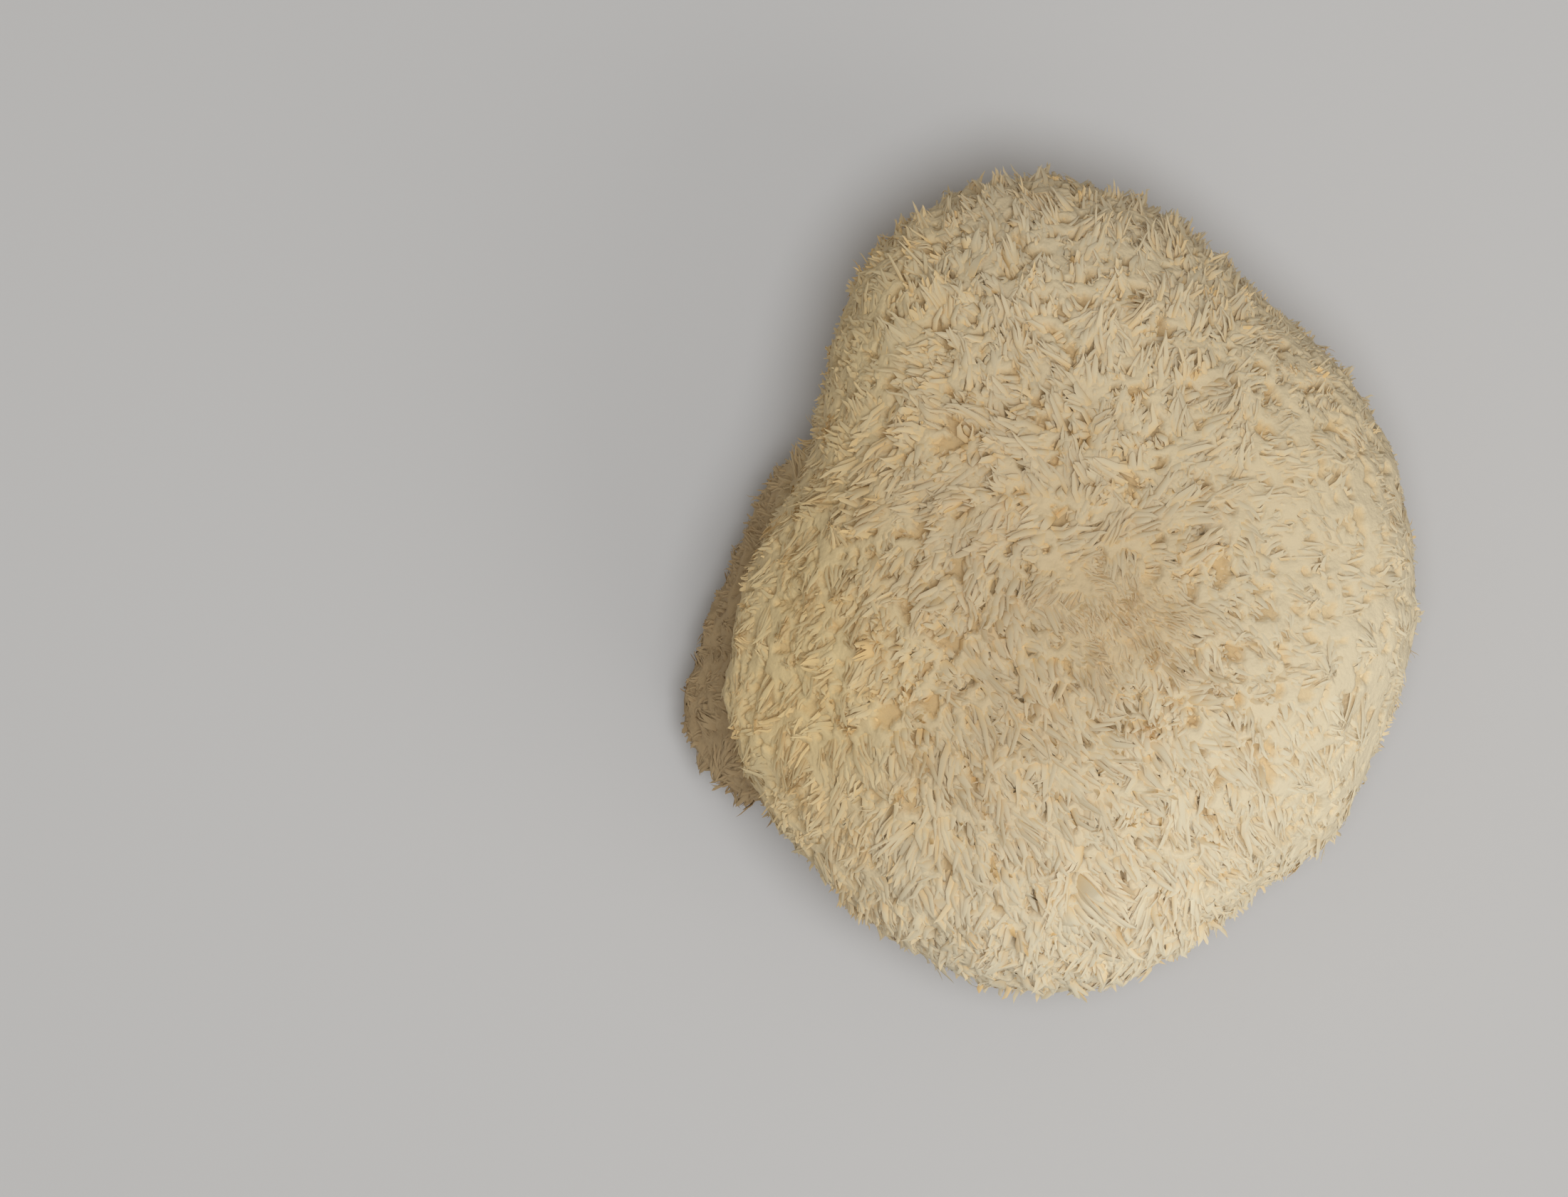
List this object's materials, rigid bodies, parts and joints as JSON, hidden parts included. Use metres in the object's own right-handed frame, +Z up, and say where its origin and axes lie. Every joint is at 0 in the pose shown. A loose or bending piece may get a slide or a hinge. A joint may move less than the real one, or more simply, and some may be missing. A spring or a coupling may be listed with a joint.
{
  "type": "lion's mane mushroom",
  "caption": "Fresh lion's mane mushroom: a lumpy cream head of soft hanging teeth on a short foot, cut flat and resting on the cut.",
  "frame": {"origin": "middle of the cut face that the mushroom rests on", "axes": "+Z up out of the cut face, +Y along the head's length towards its narrow end, +X to the right seen from above"},
  "size_m": [0.0961, 0.1068, 0.0556],
  "materials": {
    "mushroom_flesh": "matt cream flesh with soft ivory teeth, tan in the gaps between them"
  },
  "bodies": {
    "root": {"fruiting_body": "mushroom_flesh"}
  },
  "joints": []
}
